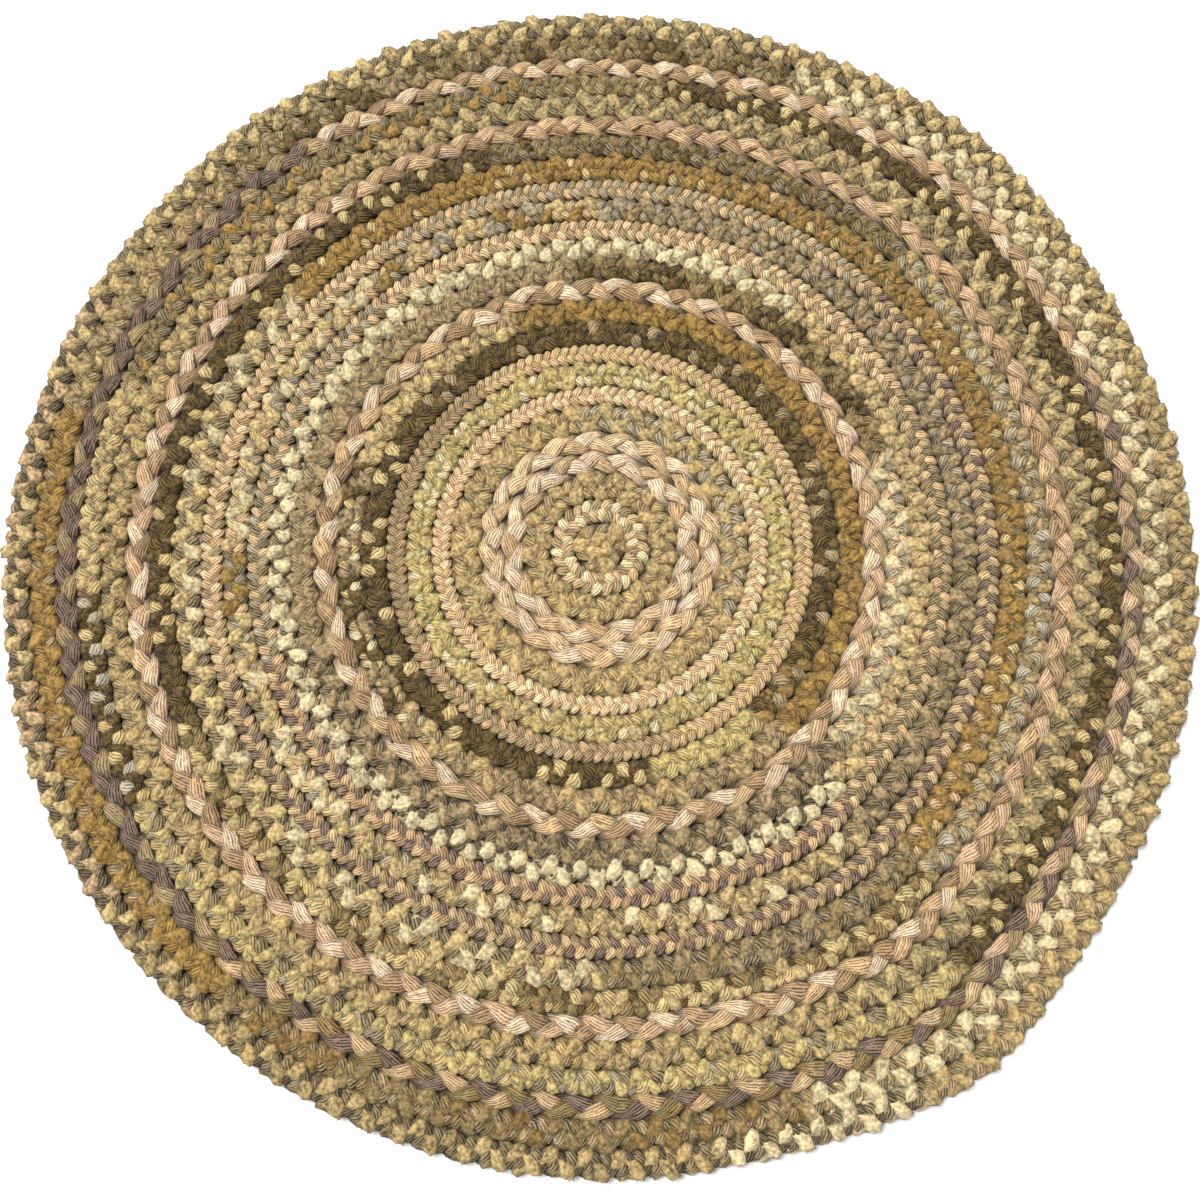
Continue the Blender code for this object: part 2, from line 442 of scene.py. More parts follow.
# Steps and facets are how many points lie along a repeat and round the outline. Swing, lift and rise place
# the strand in the plait, and corner sharpens its turns. Wide and thick are half its outline, and
# least_girth is the least share of its width that it keeps in a narrow row. Groove, pinch and edge_pinch are
# shares, and bank is in radians. Lumps, unevenness and variety keep the strand from being regular.
Strand = namedtuple(
    "Strand",
    "steps facets swing corner lift rise wide thick yarns groove pinch edge_pinch bank lumps lump_size "
    "unevenness variety least_girth",
)
STRANDS = {
    "bundle": Strand(
        steps=18, facets=12, swing=6.5 * MM, corner=0.11, lift=2.6 * MM, rise=0.9 * MM, wide=7.2 * MM,
        thick=2.9 * MM, yarns=6.0, groove=0.16, pinch=0.06, edge_pinch=0.45, bank=0.25, lumps=0.3 * MM,
        lump_size=6 * MM, unevenness=0.10, variety=0.16, least_girth=0.90,
    ),
    "tight": Strand(
        steps=11, facets=8, swing=6.4 * MM, corner=0.08, lift=2.5 * MM, rise=0.6 * MM, wide=4.5 * MM,
        thick=2.8 * MM, yarns=4.0, groove=0.10, pinch=0.12, edge_pinch=0.20, bank=0.20, lumps=0.15 * MM,
        lump_size=5 * MM, unevenness=0.06, variety=0.12, least_girth=0.90,
    ),
    "thin": Strand(
        steps=10, facets=7, swing=6.2 * MM, corner=0.0, lift=1.7 * MM, rise=0.0, wide=4.4 * MM,
        thick=2.6 * MM, yarns=4.0, groove=0.10, pinch=0.10, edge_pinch=0.15, bank=0.20, lumps=0.15 * MM,
        lump_size=5 * MM, unevenness=0.10, variety=0.15, least_girth=0.90,
    ),
    "fleck": Strand(
        steps=10, facets=8, swing=6.2 * MM, corner=0.0, lift=2.1 * MM, rise=0.7 * MM, wide=6.3 * MM,
        thick=3.2 * MM, yarns=5.0, groove=0.08, pinch=0.20, edge_pinch=0.10, bank=0.20, lumps=0.6 * MM,
        lump_size=5 * MM, unevenness=0.10, variety=0.22, least_girth=0.90,
    ),
    "chenille": Strand(
        steps=14, facets=11, swing=5.6 * MM, corner=0.0, lift=1.7 * MM, rise=0.4 * MM, wide=9.3 * MM,
        thick=4.3 * MM, yarns=1.0, groove=0.0, pinch=0.60, edge_pinch=0.10, bank=0.0, lumps=1.5 * MM,
        lump_size=4.4 * MM, unevenness=0.10, variety=0.17, least_girth=1.00,
    ),
}
STRANDS["nugget"] = STRANDS["chenille"]._replace(wide=7.8 * MM, variety=0.14)
STRANDS["rope"] = STRANDS["chenille"]._replace(wide=9.0 * MM, pinch=0.46, rise=0.8 * MM)
# How long one repeat of a plait is, how high the plait's middle lies, and its three strands.
Make = namedtuple("Make", "repeat middle strands")
MAKES = {
    "plaited": Make(72 * MM, 5.2 * MM, ("bundle", "bundle", "bundle")),
    "fine": Make(21.5 * MM, 4.9 * MM, ("tight", "tight", "tight")),
    "chenille": Make(24.0 * MM, 5.2 * MM, ("chenille", "thin", "thin")),
    "flecked": Make(24.0 * MM, 5.2 * MM, ("nugget", "fleck", "thin")),
    "roped": Make(24.0 * MM, 5.2 * MM, ("rope", "thin", "thin")),
}
print("strands:", ", ".join(STRANDS), "| makes:", ", ".join(MAKES))

# %% [markdown]
# ## The colours round each row
#
# The yarns are dyed in earth shades. A row keeps its shades for a stretch and then changes, where the maker
# joined on wool of another dye. A painted picture of the whole rug could give the colours too, but it would
# not follow the strands. So a table gives each row's make and the shades of its three strands. A shade that
# holds all round is one name, and otherwise a list gives the direction from which each shade holds, in
# degrees from +X. Where shades are joined by +, each lobe takes one of them.

# %% Shades and rows
SHADES = {
    "ivory": (230, 212, 166),
    "cream": (226, 205, 158),
    "straw": (206, 180, 124),
    "lime": (198, 177, 116),
    "green": (190, 167, 116),
    "olive": (194, 167, 113),
    "moss": (150, 127, 84),
    "bark": (108, 88, 52),
    "dark": (90, 73, 42),
    "gold": (166, 133, 72),
    "ochre": (152, 122, 70),
    "taupe": (170, 146, 107),
    "tan": (208, 175, 130),
    "peach": (224, 192, 146),
    "pink": (230, 201, 167),
    "rose": (210, 175, 138),
    "brown": (176, 145, 108),
    "plum": (136, 113, 96),
    "slate": (146, 128, 96),
    "coal": (112, 98, 74),
    "grey": (176, 159, 129),
    "mist": (186, 173, 145),
}
# How dark the wool between two plies is, from 0 to 1, which also sets how deep a yarn's painted shade is.
# Dark and mixed shades show it most, the palest least.
EVEN = 0.40
MARL_AND_SHADE = {
    "slate": 0.9, "coal": 0.9, "taupe": 0.5, "grey": 0.5, "moss": 0.6, "brown": 0.6, "plum": 1.0,
    "bark": 1.0, "dark": 1.0, "cream": 0.1, "ivory": 0.0,
}
Row = namedtuple("Row", "make shades")
ROWS = (
    Row("chenille", ("olive", "taupe", "taupe")),
    Row("fine", ("tan", "cream", "taupe")),
    Row("chenille", ("olive", "olive+straw", "taupe")),
    Row("plaited", ("pink", "tan", [(315, "pink"), (225, "peach")])),
    Row("plaited", ("pink", "peach+tan", "peach")),
    Row("chenille", ("olive", [(330, "grey"), (100, "olive")], [(330, "grey"), (100, "taupe")])),
    Row("fine", ("peach", [(225, "cream"), (90, "peach")], "tan")),
    Row("chenille", (
        [(290, "lime"), (225, "lime+green")],
        "cream+lime",
        [(225, "olive"), (290, "cream+lime")],
    )),
    Row("fine", (
        [(290, "tan"), (125, "brown"), (200, "tan")],
        [(290, "straw"), (125, "taupe")],
        [(290, "tan"), (125, "taupe")],
    )),
    Row("flecked", (
        [(333, "bark"), (283, "lime"), (312, "ochre")],
        [(333, "taupe+bark"), (150, "straw+bark"), (283, "lime"), (312, "taupe+bark")],
        [(333, "bark+dark"), (283, "green"), (312, "bark")],
    )),
    Row("chenille", (
        [(315, "gold"), (110, "green+straw"), (160, "taupe+bark"), (220, "taupe+olive")],
        [(315, "ochre+gold"), (110, "straw"), (160, "cream+taupe"), (225, "taupe")],
        [(315, "ochre"), (110, "taupe"), (160, "straw+bark"), (220, "taupe")],
    )),
    Row("plaited", ("pink", "tan", [(330, "rose"), (50, "brown")])),
    Row("chenille", (
        [(320, "cream"), (19, "bark+moss"), (95, "taupe")],
        [(320, "grey"), (19, "moss+bark"), (95, "taupe"), (200, "slate")],
        [(320, "tan"), (19, "moss"), (95, "taupe"), (200, "coal")],
    )),
    Row("roped", (
        [(315, "straw"), (52, "ivory")],
        [(315, "tan"), (52, "taupe"), (150, "slate"), (225, "coal")],
        [(315, "taupe"), (150, "coal")],
    )),
    Row("fine", (
        [(315, "tan"), (30, "peach"), (130, "tan")],
        [(315, "taupe"), (130, "slate"), (200, "plum")],
        [(315, "slate"), (30, "tan"), (130, "grey"), (200, "brown")],
    )),
    Row("chenille", (
        [
            (312, "taupe"), (85, "gold+straw+grey"), (130, "cream+straw"), (180, "gold+straw"),
            (200, "straw+cream"),
        ],
        [(312, "slate"), (0, "grey"), (85, "grey+tan"), (240, "taupe")],
        [(312, "slate"), (85, "slate+straw")],
    )),
    Row("fine", (
        [(315, "tan"), (126, "peach"), (200, "tan")],
        [(315, "plum"), (45, "grey"), (126, "taupe"), (200, "plum")],
        [(315, "taupe"), (126, "tan"), (200, "taupe")],
    )),
    Row("chenille", (
        [(340, "gold+ochre"), (140, "cream+straw"), (270, "taupe+moss"), (315, "gold")],
        [(340, "gold+straw"), (140, "slate"), (315, "tan")],
        [(340, "moss"), (80, "gold"), (140, "taupe+slate"), (315, "moss")],
    )),
    Row("flecked", (
        [(315, "olive+taupe"), (45, "moss+bark"), (105, "bark"), (205, "moss+green")],
        [(315, "mist+grey"), (45, "slate"), (105, "straw+bark"), (205, "straw+moss")],
        [(315, "slate"), (45, "moss"), (105, "bark+dark"), (205, "bark+straw")],
    )),
    Row("plaited", (
        [(315, "tan"), (126, "pink"), (280, "tan")],
        [(315, "rose"), (126, "brown"), (280, "pink")],
        [(315, "brown"), (126, "rose"), (280, "brown")],
    )),
    Row("chenille", (
        [(300, "green"), (110, "olive")],
        [(300, "slate"), (110, "olive+taupe")],
        [(300, "slate+taupe"), (110, "taupe+coal")],
    )),
    Row("flecked", (
        [(310, "bark"), (83, "moss"), (95, "moss+gold"), (160, "green+straw"), (185, "bark"), (210, "lime")],
        [
            (310, "straw+straw+bark"), (83, "taupe"), (95, "slate"), (160, "straw"), (185, "mist+straw"),
            (210, "green+slate"),
        ],
        [(310, "dark+bark"), (83, "moss"), (160, "taupe"), (185, "bark+dark"), (210, "grey+olive")],
    )),
    Row("plaited", (
        [(310, "plum"), (20, "pink"), (126, "plum")],
        [(310, "rose"), (20, "tan"), (126, "taupe"), (225, "tan")],
        [(310, "taupe"), (20, "brown"), (126, "plum"), (225, "moss")],
    )),
    Row("chenille", (
        [(290, "cream"), (68, "taupe+moss+bark"), (135, "olive+taupe"), (165, "gold"), (230, "ochre+moss")],
        [(290, "taupe"), (68, "taupe+bark"), (135, "taupe"), (165, "gold+taupe"), (230, "moss+taupe")],
        [(290, "slate"), (68, "moss"), (165, "ochre"), (230, "slate")],
    )),
    Row("chenille", (
        [(300, "olive"), (20, "straw"), (150, "tan+straw"), (220, "olive"), (281, "cream")],
        [(300, "taupe"), (20, "slate"), (150, "coal"), (220, "slate")],
        [(300, "slate"), (220, "coal")],
    )),
)
print(len(ROWS), "rows,", len(SHADES), "shades")

# %% [markdown]
# ## What all yarns share
#
# Five materials serve all rows: one for each of the four kinds of wool strand, and one for chenille. None
# has any gloss, because light goes astray between the fibres. All take their dye, with painted shade in it,
# from the strand, where it is stored point by point, and the strand's own turn and outline tell them where
# along and across it they are. A photo of wool could be laid over the strands instead, but it would not
# follow their twist.

# %% Yarn shading
NOISE_GAIN = 3.2  # the noise node's values lie close about 0.5, and this brings them to about -1 to 1


class YarnShading(Wires):
    """A matt material, and the wires that every yarn starts from."""

    def __init__(self, name, sheen):
        self.material = bpy.data.materials.new(name)
        self.material.use_nodes = True
        super().__init__(self.material.node_tree)
        self.surface = self.tree.nodes["Principled BSDF"]
        self.surface.inputs["Roughness"].default_value = 0.95
        self.surface.inputs["Specular IOR Level"].default_value = 0.15
        self.surface.inputs["Sheen Weight"].default_value = sheen
        self.surface.inputs["Sheen Roughness"].default_value = 0.6
        # The stored dye holds painted shade from a braid's heart, and its alpha is the ply darkness.
        dye = self.stored("dye")
        self.dye, self.marl_and_shade = dye.out("Color"), dye.out("Alpha")
        turn = self.split(self.stored("turn").out("Vector"))
        self.cosine, self.sine = turn.out("X"), turn.out("Y")
        self.tone = turn.out("Z") - 0.5
        self.lobe = (turn.out("Z") * 97.0).math("FLOOR")
        self.outline = self.split(self.stored("round").out("Vector")).out("X")
        self.place = self.node("ShaderNodeTexCoord").out("Object")
        # side and end mark painted shade: at a strand's edges, and at a lobe's ends where other strands
        # cross it.
        side = self.outline * self.outline
        end = 1.0 - (self.cosine * self.sine * 2.0).math("ABSOLUTE")
        self.side, self.end = side * side, end * end

    def stored(self, name):
        return self.node("ShaderNodeAttribute", {"attribute_name": name})

    def noise(self, vector, scale, detail=2.0, rough=0.5):
        """Smooth noise from about -1 to 1."""
        sockets = {"Vector": vector, "Scale": scale, "Detail": detail, "Roughness": rough}
        return (self.node("ShaderNodeTexNoise", {}, sockets).out(0) - 0.5) * NOISE_GAIN

    def finish(self, light, warmth, height, depth):
        """Links the dye, made lighter or darker and warmer or cooler, and a bump of this depth in metres."""
        # light holds the yarn's own tones, and also painted shade and painted highlight.
        tint = self.together(1.0 + warmth * 0.5, 1.0, 1.0 - warmth)
        colour = self.vector("SCALE", self.vector("MULTIPLY", self.dye, tint), scale=light)
        bump = self.node("ShaderNodeBump", {}, {"Height": height, "Distance": depth, "Strength": 1.0})
        self.tree.links.new(colour.end, self.surface.inputs["Base Color"])
        self.tree.links.new(bump.end, self.surface.inputs["Normal"])
        return self.material


print("made the class", YarnShading.__name__)

# %% [markdown]
# ## Wool
#
# Wool yarns lie side by side in a strand, and each is spun from plies. A yarn is round, so painted shade
# darkens the grooves beside it, more where a dark ply lies there, and its plies show as fine slanted ribs.
# No two yarns took the dye alike, and here and there a yarn lies low, darkened by painted shade in short
# strokes. Painted shade also darkens a strand's edges and a lobe's ends, where other strands cross it.
# Modelling the plies would take many times the triangles, so they are left to the material, as changes of
# light and a bump.

# %% The wool materials
def wool_material(name, yarns, drift, plies, dash, twist, bright):
    """Wool yarns side by side in a strand. Over one repeat of the plait they drift sideways by a whole
    number of yarns, and each has a number of slanted plies. The larger dash is, the shorter are the
    strokes, and the larger twist is, the plainer are the plies."""
    s = YarnShading(name, 0.05)
    round_turn = s.together(s.cosine * dash, s.sine * dash, s.lobe)
    along = s.sine.math("ARCTAN2", s.cosine)
    stray = s.noise(round_turn, 0.7, 1.0) * 0.35
    across = (s.outline + 1.0) * (yarns / 2) + along * (drift / math.tau) + stray
    number = across.math("FLOOR")
    yarn_tone = s.node("ShaderNodeTexWhiteNoise", {}, {"Vector": s.together(number, s.lobe)}) - 0.5

    def along_strand(across_scale, shift=0.0):
        """Noise drawn out along the yarns."""
        where = s.together(s.cosine * dash, s.sine * dash, across * across_scale + s.lobe + shift)
        return s.noise(where, 1.0, 2.0, 0.6)

    # groove and strokes mark painted shade: the grooves beside each round yarn, and short strokes where a
    # yarn lies low.
    groove = (1.0 - (across * math.pi).math("SINE").math("ABSOLUTE")) ** 1.4
    groove = (groove * (along_strand(0.7) * 1.7 + 1.15)).within_one()
    strokes = (along_strand(1.5, 31.0) * 2.6 - 0.7).within_one()
    ribs = (along * plies + across * 5.5 + yarn_tone * 9.0).math("SINE")
    fibres = s.noise(s.place, 800.0, 2.0, 0.6)
    twisted = (along_strand(0.9, 83.0) + 0.6).math("MAXIMUM", 0.0) * twist
    light = bright + along_strand(3.1, 57.0) * 0.26 + yarn_tone * 0.42 + s.tone * 0.16
    light = light + fibres * 0.20 + ribs * twisted
    # Painted shade in the grooves and strokes, deeper on marled wool whose dark ply lies in the grooves, and
    # painted shade at the strand's edges and lobe ends.
    light = light * (1.0 - groove * (s.marl_and_shade * 0.44 + 0.48)) * (1.0 - strokes * (s.marl_and_shade * 0.36 + 0.54))
    light = light * (1.0 - s.side * 0.45) * (1.0 - s.end * 0.12)
    light = light.math("MAXIMUM", 0.10)
    warmth = s.noise(s.together(number * 5.1, s.lobe, s.cosine), 1.0, 1.0) * 0.20
    height = (1.0 - groove) * 0.8 + ribs * 0.08 + fibres * 0.12 - strokes * 0.4
    return s.finish(light, warmth, height, 0.7 * MM)


YARNS = {
    "bundle": wool_material("wool_bundle", yarns=6, drift=3, plies=30.0, dash=2.4, twist=0.26, bright=1.12),
    "tight": wool_material("tight_wool", yarns=4, drift=1, plies=12.0, dash=1.4, twist=0.07, bright=1.21),
    "thin": wool_material("thin_wool", yarns=4, drift=1, plies=12.0, dash=1.4, twist=0.07, bright=1.12),
    "fleck": wool_material("fleck_wool", yarns=5, drift=1, plies=12.0, dash=1.4, twist=0.07, bright=1.12),
}
print("wool:", ", ".join(yarn.name for yarn in YARNS.values()))

# %% [markdown]
# ## Chenille
#
# Chenille is made of short pile held by a twisted core. It has no ribs. Its pile stands in small tufts,
# with a painted highlight on their tips and painted shade between them, and its colour runs in short streaks
# across the strand. Painted shade also darkens a strand's sides and a lobe's ends. Bent Voronoi cells give
# the tufts an irregular edge, and the spikes of the strand's tree carry the painted highlight of a tip.

# %% The chenille material
def chenille_material(name):
    """A strand of cut pile, in tufts."""
    s = YarnShading(name, 0.10)
    bend = s.node("ShaderNodeTexNoise", {}, {"Vector": s.place, "Scale": 350.0}).out(1)
    bent = s.vector("ADD", s.place, s.vector("SCALE", bend, scale=2.4 * MM))
    sockets = {"Vector": bent, "Scale": 300.0, "Smoothness": 0.35}
    tufts = s.node("ShaderNodeTexVoronoi", {"feature": "SMOOTH_F1"}, sockets).out("Distance") - 0.40
    patches = s.noise(s.place, 220.0, 2.0)
    round_turn = s.together(s.cosine * 3.2, s.sine * 3.2, s.outline * 1.5 + s.lobe * 7.0)
    streaks = s.noise(round_turn, 1.0, 3.0, 0.6)
    fibres = s.noise(s.place, 850.0, 2.0, 0.6)
    tip = s.stored("tip").out("Fac")
    # Painted highlight on the tufts' tips, and painted shade in the creases between tufts and at the
    # strand's sides and lobe ends.
    light = 0.92 + tip * 0.16 + streaks * 0.44 + s.tone * 0.24 + fibres * (s.marl_and_shade * 0.20 + 0.20)
    light = light + patches * (s.marl_and_shade * 0.22 + 0.10) - tufts * (s.marl_and_shade * 0.70 + 0.75)
    light = light.math("MAXIMUM", 0.15) * (1.0 - s.side * 0.30) * (1.0 - s.end * 0.35)
    height = fibres * 0.14 - tufts * 0.7 + patches * 0.4 + streaks * 0.3
    return s.finish(light, patches * 0.10, height, 1.0 * MM)


YARNS["chenille"] = YARNS["nugget"] = YARNS["rope"] = chenille_material("chenille")
print("yarns:", ", ".join(f"{kind} in {yarn.name}" for kind, yarn in YARNS.items()))

# %% [markdown]
# ## The dye and its painted shade along a strand
#
# The dye is worked out for every point of a strand: a small table lookup by direction, with a change of
# shade up to a centimetre long. Hardly any daylight reaches the heart of a braid, between fibres that are
# not modelled, and so painted shade darkens the dye there. Dye and painted shade are stored together on the
# mesh, so that the materials needn't know which row they are on.

# %% Dye and daylight
HALF_CHANGE = math.radians(0.7)  # half the stretch over which one shade gives way to the next
HEART = 0.2 * MM  # above and below a braid's middle, where it is darkest
DAYLIT = 3.0 * MM  # beyond the heart, where daylight is full
RIM_BAND = 4.0 * MM  # inside the rug's outline, where daylight comes in from the side
HEART_LIGHT = 0.26  # the least share of daylight


def on_display(shade):
    """A shade as the linear colour that a display shows for it, and the darkness between its plies."""
    values = np.array(SHADES[shade]) / 255
    linear = np.where(values > 0.04045, ((values + 0.055) / 1.055) ** 2.4, values / 12.92)
    # The ply darkness in the alpha also deepens the yarn's painted shade.
    return np.append(linear, MARL_AND_SHADE.get(shade, EVEN))


def dyed(shade, tones):
    """The colour of each point. Of several shades, joined by +, each lobe of the strand takes one."""
    choices = np.array([on_display(name) for name in shade.split("+")])
    return choices[np.minimum((tones * len(choices)).astype(int), len(choices) - 1)]


def apart(first, second):
    """The angle between two directions, from 0 to half a turn."""
    return np.abs((first - second + math.pi) % math.tau - math.pi)


def dye_round(shades, angles, tones):
    """The colour of a strand at points in these directions, on lobes with these random tones."""
    if isinstance(shades, str):
        return dyed(shades, tones)
    colours = np.zeros((len(angles), 4))
    weights = np.zeros((len(angles), 1))
    for (start, shade), (end, _) in zip(shades, shades[1:] + shades[:1]):
        start, end = math.radians(start), math.radians(end)
        to_edge = np.minimum(apart(angles, start), apart(angles, end))
        inside = (angles - start) % math.tau < (end - start) % math.tau
        depth = np.where(inside, to_edge, -to_edge)
        weight = np.clip(depth / HALF_CHANGE * 0.5 + 0.5, 0.0, 1.0)[:, None]
        colours += weight * dyed(shade, tones)
        weights += weight
    return colours / weights


def daylight(points, middle):
    """The share of light at each point: little in a braid's heart, all of it on its face and at the rim."""
    out_of_heart = (np.abs(points[:, 2] - middle) - HEART) / DAYLIT
    beyond_rim = (np.hypot(points[:, 0], points[:, 1]) - SEAM_MEANS[-1]) / RIM_BAND + 1
    open_share = np.clip(np.maximum(out_of_heart, beyond_rim), 0.0, 1.0)
    return HEART_LIGHT + (1 - HEART_LIGHT) * open_share * open_share * (3 - 2 * open_share)


print("the darkest and the palest shade:", on_display("dark")[:3].round(3), on_display("ivory")[:3].round(3))

# %% [markdown]
# ## Laying one strand
#
# A guide curve runs round midway between a row's two seams, and the tree plaits a strand along it. The
# result is turned into a plain mesh, because the export reads meshes. Its lowest points are pressed flat, as
# a rug's own weight does, and its dye, with its painted shade, is stored.

# %% Guide and strand
LOWEST = 0.3 * MM  # how far above the floor a strand is pressed flat
TUFT_DENSITY = 62000.0  # tufts on a square metre of free pile
ROW_SHIFT = 0.37  # how far each row's plait is shifted against that of the row inside it, in repeats
SEEDS_A_ROW = 10
# The sizes that are not scaled to the row.
AS_LISTED = (
    "Steps", "Corner", "Lift", "Facets", "Yarns", "Groove", "Pinch", "Edge pinch", "Bank", "Lumps",
    "Lump size", "Unevenness", "Variety",
)


def guide_curve(name, inner, outer):
    """A closed curve midway between two seams."""
    reach = (inner(ALL_ROUND) + outer(ALL_ROUND)) / 2
    x = RUG_MIDDLE.x + reach * np.cos(ALL_ROUND)
    y = RUG_MIDDLE.y + reach * np.sin(ALL_ROUND)
    curve = bpy.data.curves.new(name, "CURVE")
    curve.dimensions = "3D"
    line = curve.splines.new("POLY")
    line.points.add(len(ALL_ROUND) - 1)
    line.points.foreach_set("co", np.stack([x, y, 0 * x, 0 * x + 1], 1).ravel())
    line.use_cyclic_u = True
    guide = bpy.data.objects.new(name, curve)
    bpy.context.scene.collection.objects.link(guide)
    return guide


def plaited_mesh(guide, values):
    """The mesh that the strand's tree lays along the guide."""
    modifier = guide.modifiers.new("plait", "NODES")
    modifier.node_group = STRAND.tree
    for name, value in values.items():
        modifier[SOCKET_OF[name]] = value
    mesh = bpy.data.meshes.new_from_object(guide.evaluated_get(bpy.context.evaluated_depsgraph_get()))
    guide.modifiers.remove(modifier)
    return mesh


def vectors(data, name):
    """The vectors of a mesh's points or of a stored attribute, one in each row."""
    flat = np.empty(len(data) * 3, np.float32)
    data.foreach_get(name, flat)
    return flat.reshape(-1, 3)


def laid_strand(guide, place, third, repeats, size):
    """One of a row's three strands, as a mesh object with its dye."""
    make = MAKES[ROWS[place].make]
    kind = make.strands[third]
    strand = STRANDS[kind]
    seed = SEEDS_A_ROW * place + third
    values = {name: getattr(strand, name.lower().replace(" ", "_")) for name in AS_LISTED}
    values |= {
        "Repeats": repeats,
        "Start": third / 3 + ROW_SHIFT * place,
        "Row": float(place),
        "Swing": strand.swing * size,
        "Middle": make.middle + strand.rise,
        "Half width": strand.wide * max(size, strand.least_girth),
        "Half thickness": strand.thick,
        "Tufts": TUFT_DENSITY if YARNS[kind] is YARNS["chenille"] else 0.0,
        "Seed": float(seed),
        "Yarn": YARNS[kind],
    }
    mesh = plaited_mesh(guide, values)
    points = vectors(mesh.vertices, "co")
    points[:, 2] = np.maximum(points[:, 2], LOWEST)
    mesh.vertices.foreach_set("co", points.ravel())
    points = points - np.array(RUG_MIDDLE)
    angles = np.arctan2(points[:, 1], points[:, 0]) % math.tau
    tones = vectors(mesh.attributes["turn"].data, "vector")[:, 2]
    colours = dye_round(ROWS[place].shades[third], angles, tones)
    # Painted shade: the dye is darkened where little daylight reaches, deep in a braid's heart.
    colours[:, :3] *= daylight(points, make.middle - RUG_MIDDLE.z)[:, None]
    dye = mesh.attributes.new("dye", "FLOAT_COLOR", "POINT")
    dye.data.foreach_set("color", colours.astype(np.float32).ravel())
    laid = bpy.data.objects.new(f"strand_{seed}", mesh)
    bpy.context.scene.collection.objects.link(laid)
    return laid


print("a strand takes", len(AS_LISTED), "sizes as listed, and its width and swing scaled to its row")

# %% [markdown]
# ## Plaiting the rows
#
# A braider finishes a whole row before lacing it on, and its plait has to close on itself. So each row gets
# as many whole repeats as fit its length, and at least three. Its three strands become one piece, which
# takes the place of the model's plain ring.

# %% All the rows
FEWEST_REPEATS = 3


def plaited_row(place):
    """The dressed braid of one row."""
    inner, outer = SEAM_MEANS[place], SEAM_MEANS[place + 1]
    length = math.tau * (outer + inner) / 2
    repeats = max(FEWEST_REPEATS, round(length / MAKES[ROWS[place].make].repeat))
    size = (outer - inner) / 2 / USUAL_HALF_WIDTH
    guide = guide_curve(f"guide_{place + 1}", SEAMS[place], SEAMS[place + 1])
    parts = [laid_strand(guide, place, third, repeats, size) for third in range(3)]
    bpy.data.objects.remove(guide)
    braid = parts[0]
    with bpy.context.temp_override(active_object=braid, object=braid, selected_editable_objects=parts):
        bpy.ops.object.join()
    braid.name = RING_NODES[place].replace("braid", "plaited_row")
    return braid


braids = []
for place, node in enumerate(RING_NODES):
    braid = plaited_row(place)
    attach(braid, "root")
    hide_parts(node)
    braids.append(braid)
triangles = [sum(face.loop_total - 2 for face in braid.data.polygons) for braid in braids]
print(len(braids), "rows with", sum(triangles), "triangles, at most", max(triangles), "in one")

# %% [markdown]
# ## What lies in the hearts of the braids
#
# Between the strands one sees the dark wool at the heart of each braid, deep in shade, and never the floor.
# Fatter strands would close the gaps too, but they would fill the grooves between the rows. So one dark
# sheet of painted shade lies under the strands, coloured as shaded wool. It is a thin closed disc that rises
# a little under each row and sinks under each seam.

# %% The dark heart, in painted shade
HEART_SIDES = 72
HEART_THICKNESS = 0.4 * MM
UNDER_SEAM, UNDER_ROW = 3.0 * MM, 4.6 * MM  # how high its top lies
# The row, how far out in it, and the height of each loop of the sheet.
HEART_LEVELS = [(0, 0.5, UNDER_ROW)]
for place in range(1, len(ROWS)):
    HEART_LEVELS += [(place, 0.0, UNDER_SEAM), (place, 0.5, UNDER_ROW)]
HEART_LEVELS.append((len(ROWS) - 1, 0.80, 4.0 * MM))


def band(mesh, first, second):
    """The faces between two loops."""
    for corners in zip(first, second, second[1:] + second[:1], first[1:] + first[:1]):
        mesh.faces.new(corners)


def heart_side(mesh, lowered):
    """The top or the underside of the sheet. Its outermost loop is given back."""
    angles = np.linspace(0, math.tau, HEART_SIDES, endpoint=False)
    loops = []
    for place, out, up in HEART_LEVELS:
        reach = SEAMS[place](angles) * (1 - out) + SEAMS[place + 1](angles) * out
        x = RUG_MIDDLE.x + reach * np.cos(angles)
        y = RUG_MIDDLE.y + reach * np.sin(angles)
        loops.append([mesh.verts.new((*corner, up - lowered)) for corner in zip(x, y)])
    hub = mesh.verts.new((RUG_MIDDLE.x, RUG_MIDDLE.y, UNDER_ROW - lowered))
    for a, b in zip(loops[0], loops[0][1:] + loops[0][:1]):
        mesh.faces.new((hub, a, b))
    for inner, outer in zip(loops, loops[1:]):
        band(mesh, inner, outer)
    return loops[-1]


def heart_sheet():
    """A closed disc that stays inside the strands."""
    mesh = bmesh.new()
    band(mesh, heart_side(mesh, 0.0), heart_side(mesh, HEART_THICKNESS))
    bmesh.ops.recalc_face_normals(mesh, faces=mesh.faces)
    data = bpy.data.meshes.new("heart_shade_wool")
    mesh.to_mesh(data)
    mesh.free()
    data.shade_smooth()
    sheet = bpy.data.objects.new("heart_shade_wool", data)
    bpy.context.scene.collection.objects.link(sheet)
    return sheet


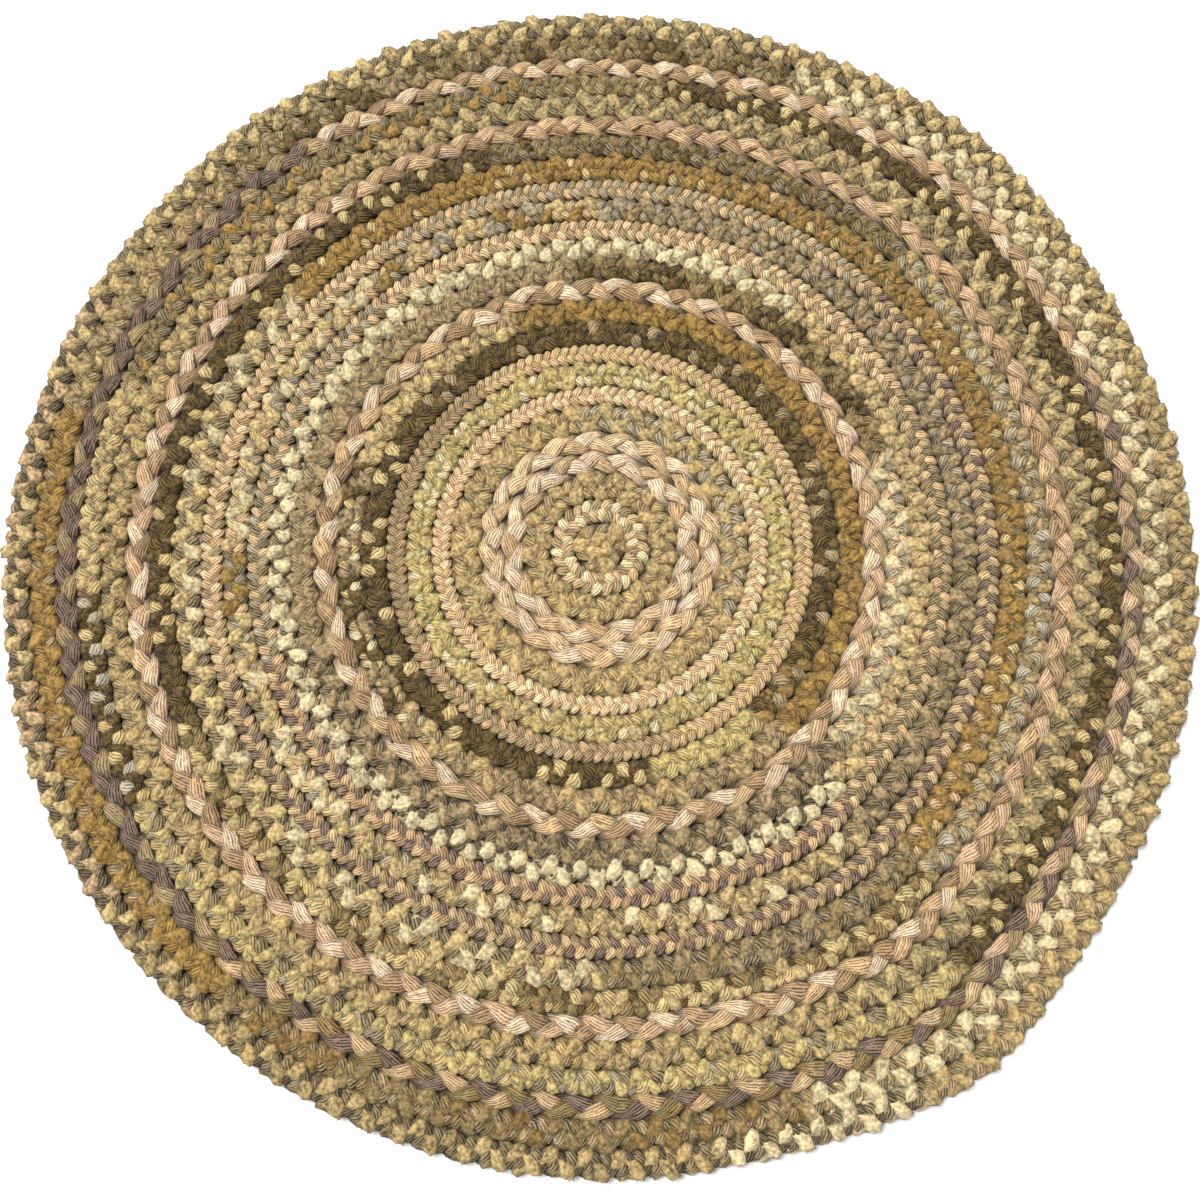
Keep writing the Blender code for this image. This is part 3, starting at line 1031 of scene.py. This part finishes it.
def heart_shade_material():
    """Dark wool, mottled, as painted shade for the wool deep in the braids."""
    material = bpy.data.materials.new("heart_shade_wool")
    material.use_nodes = True
    w = Wires(material.node_tree)
    surface = w.tree.nodes["Principled BSDF"]
    surface.inputs["Roughness"].default_value = 1.0
    surface.inputs["Specular IOR Level"].default_value = 0.1
    place = w.node("ShaderNodeTexCoord").out("Object")
    mottle = w.node("ShaderNodeTexNoise", {}, {"Vector": place, "Scale": 90.0, "Detail": 3.0}).out(0)
    fibres = w.node("ShaderNodeTexNoise", {}, {"Vector": place, "Scale": 900.0, "Detail": 3.0}).out(0)
    colour = w.mix(mottle, on_display("dark"), on_display("bark"))
    bump = w.node("ShaderNodeBump", {}, {"Height": fibres, "Distance": 1.0 * MM, "Strength": 1.0})
    w.tree.links.new(colour.end, surface.inputs["Base Color"])
    w.tree.links.new(bump.end, surface.inputs["Normal"])
    return material


heart = heart_sheet()
heart.data.materials.append(heart_shade_material())
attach(heart, "root")
print("the heart sheet has", len(heart.data.polygons), "faces")

# %% [markdown]
# ## Floor and sky
#
# The rug lies on a plain white floor, and a white sky fills the shadows. A paper backdrop would do the same
# in a studio. The view transform is the plain one, so that shades come out as they are written.

# %% Floor and sky
bpy.ops.mesh.primitive_plane_add(size=12.0, location=(0.0, 0.0, 0.0))
floor = bpy.context.object
floor.name = "floor"
floor_material = bpy.data.materials.new("white_floor")
floor_material.use_nodes = True
floor_surface = floor_material.node_tree.nodes["Principled BSDF"]
floor_surface.inputs["Base Color"].default_value = (0.93, 0.93, 0.93, 1.0)
floor_surface.inputs["Roughness"].default_value = 0.9
floor.data.materials.append(floor_material)

world = bpy.data.worlds.new("white_sky")
world.use_nodes = True
background = world.node_tree.nodes["Background"]
background.inputs["Color"].default_value = (1.0, 1.0, 1.0, 1.0)
background.inputs["Strength"].default_value = 0.70
bpy.context.scene.world = world
bpy.context.scene.view_settings.view_transform = "Standard"
print("floor and sky made, with a sky of strength", round(background.inputs["Strength"].default_value, 2))

# %% [markdown]
# ## Light and camera
#
# A broad soft light from the upper left models the braids. A small lamp would cast hard shadows between the
# lobes. The camera stands a little before the middle of the rug and looks down at ten degrees from the
# plumb line.

# %% Light and camera
window = bpy.data.lights.new("window", "SUN")
window.energy = 2.9
window.angle = math.radians(28.0)
light = bpy.data.objects.new("window", window)
light.location = (-0.9, 0.75, 1.8)
light.rotation_euler = (-light.location).to_track_quat("-Z", "Y").to_euler()
bpy.context.scene.collection.objects.link(light)

lens = bpy.data.cameras.new("camera")
lens.sensor_width = 36.0
lens.lens = 35.9
camera = bpy.data.objects.new("camera", lens)
camera.location = (RUG_MIDDLE.x, RUG_MIDDLE.y - 0.200, 0.907)
camera.rotation_euler = (math.radians(10.0), 0.0, 0.0)
bpy.context.scene.collection.objects.link(camera)
bpy.context.scene.camera = camera
print("camera at", [round(v, 3) for v in camera.location])
